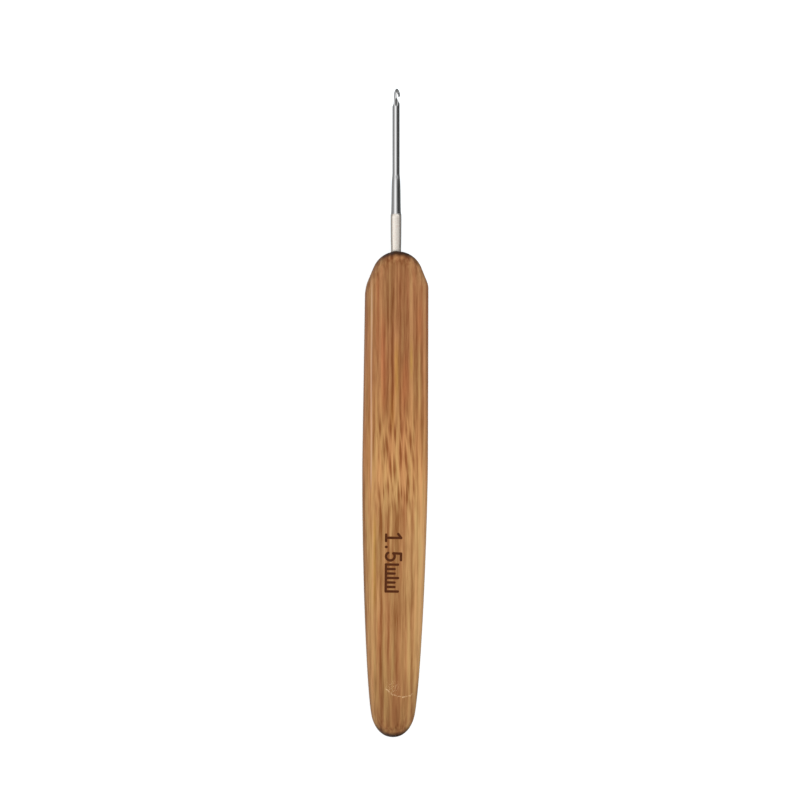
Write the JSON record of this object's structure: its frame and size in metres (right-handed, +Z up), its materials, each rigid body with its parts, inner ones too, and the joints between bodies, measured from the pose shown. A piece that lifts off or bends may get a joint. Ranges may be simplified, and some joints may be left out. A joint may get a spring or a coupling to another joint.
{
  "type": "crochet hook",
  "caption": "Slim steel crochet hook with a small barbed head and pressed thumb flat, bonded into a flat bamboo handle with rounded edges and a domed front.",
  "frame": {"origin": "below the middle of the overall length, on the flat back of the handle that the hook lies on", "axes": "+Y along the hook towards its tip, +X to the side that the lip opens to, +Z up through the handle's thickness"},
  "size_m": [0.0136, 0.135, 0.008],
  "materials": {
    "bamboo": "caramel-coloured bamboo with fine lengthwise grain under a satin clear lacquer",
    "steel": "polished bright steel wire, satin on the pressed thumb flat",
    "adhesive": "clear amber set adhesive, hidden inside the handle"
  },
  "bodies": {
    "root": {"bamboo_handle": "bamboo", "steel_hook": "steel", "tang_adhesive": "adhesive"}
  },
  "joints": []
}
